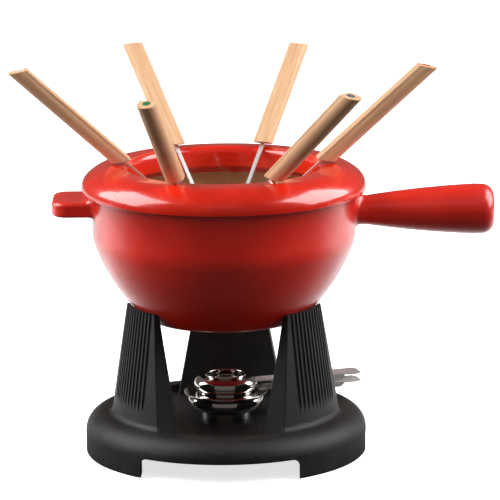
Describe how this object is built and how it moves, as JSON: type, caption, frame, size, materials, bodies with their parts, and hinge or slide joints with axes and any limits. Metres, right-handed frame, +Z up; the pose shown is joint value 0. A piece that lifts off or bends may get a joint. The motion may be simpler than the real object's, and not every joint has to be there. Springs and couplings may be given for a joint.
{
  "type": "fondue pot set",
  "caption": "Enamelled cast fondue pot with splash ring and wooden-handled forks, on a three-legged cast stand over a spirit burner.",
  "frame": {"origin": "on the surface the feet stand on, at the middle of the stand", "axes": "+Z up, +X along the pot's long handle"},
  "size_m": [0.3791, 0.3173, 0.3065],
  "materials": {
    "cast_black": "matt black enamel on rough casting",
    "red_enamel": "gloss red enamel outside, sand enamel inside the bowl",
    "beech": "oiled light beech",
    "bright_steel": "polished",
    "polished_steel": "mirror polished",
    "gauze_steel": "woven wire",
    "wadding": "loose fibre",
    "marker_red": "gloss",
    "marker_yellow": "gloss",
    "marker_blue": "gloss",
    "marker_white": "gloss",
    "marker_green": "gloss",
    "marker_slate": "gloss"
  },
  "bodies": {
    "stand": {"stand_casting": "cast_black"},
    "pot": {"pot_casting": "red_enamel"},
    "ring": {"splash_ring": "red_enamel"},
    "fork_1": {"fork_1_grip": "beech", "fork_1_steel": "bright_steel", "fork_1_marker": "marker_red"},
    "fork_2": {"fork_2_grip": "beech", "fork_2_steel": "bright_steel", "fork_2_marker": "marker_yellow"},
    "fork_3": {"fork_3_grip": "beech", "fork_3_steel": "bright_steel", "fork_3_marker": "marker_blue"},
    "fork_4": {"fork_4_grip": "beech", "fork_4_steel": "bright_steel", "fork_4_marker": "marker_white"},
    "fork_5": {"fork_5_grip": "beech", "fork_5_steel": "bright_steel", "fork_5_marker": "marker_green"},
    "fork_6": {"fork_6_grip": "beech", "fork_6_steel": "bright_steel", "fork_6_marker": "marker_slate"},
    "burner": {"burner_foot": "polished_steel", "fuel_cup": "polished_steel", "wadding_pad": "wadding", "wire_gauze": "gauze_steel", "burner_flange": "polished_steel", "flange_lever": "polished_steel", "flange_rivets": "polished_steel", "throttle_plate": "polished_steel"},
    "regulator": {"regulator_dome": "polished_steel", "regulator_lever": "polished_steel"}
  },
  "joints": [
    {"name": "pot_lift", "type": "slide", "parent": "stand", "child": "pot", "axis": [0, 0, 1], "range_m": [0, 0.15]},
    {"name": "ring_lift", "type": "slide", "parent": "pot", "child": "ring", "axis": [0, 0, 1], "range_m": [0, 0.12]},
    {"name": "fork_1_pull", "type": "slide", "parent": "ring", "child": "fork_1", "axis": [0.7435, 0.0546, 0.6665], "range_m": [0, 0.17]},
    {"name": "fork_2_pull", "type": "slide", "parent": "ring", "child": "fork_2", "axis": [0.2854, 0.7357, 0.6143], "range_m": [0, 0.17]},
    {"name": "fork_3_pull", "type": "slide", "parent": "ring", "child": "fork_3", "axis": [-0.3218, 0.6902, 0.6481], "range_m": [0, 0.17]},
    {"name": "fork_4_pull", "type": "slide", "parent": "ring", "child": "fork_4", "axis": [-0.7352, -0.0695, 0.6743], "range_m": [0, 0.17]},
    {"name": "fork_5_pull", "type": "slide", "parent": "ring", "child": "fork_5", "axis": [-0.1796, -0.7259, 0.6639], "range_m": [0, 0.17]},
    {"name": "fork_6_pull", "type": "slide", "parent": "ring", "child": "fork_6", "axis": [0.5226, -0.53, 0.6678], "range_m": [0, 0.17]},
    {"name": "burner_slide", "type": "slide", "parent": "stand", "child": "burner", "axis": [0.8731, 0.441, 0.2079], "range_m": [0, 0.15]},
    {"name": "regulator_turn", "type": "hinge", "parent": "burner", "child": "regulator", "pos_m": [0, 0, 0.048], "axis": [0, 0, 1], "range_deg": [0, 30]}
  ]
}
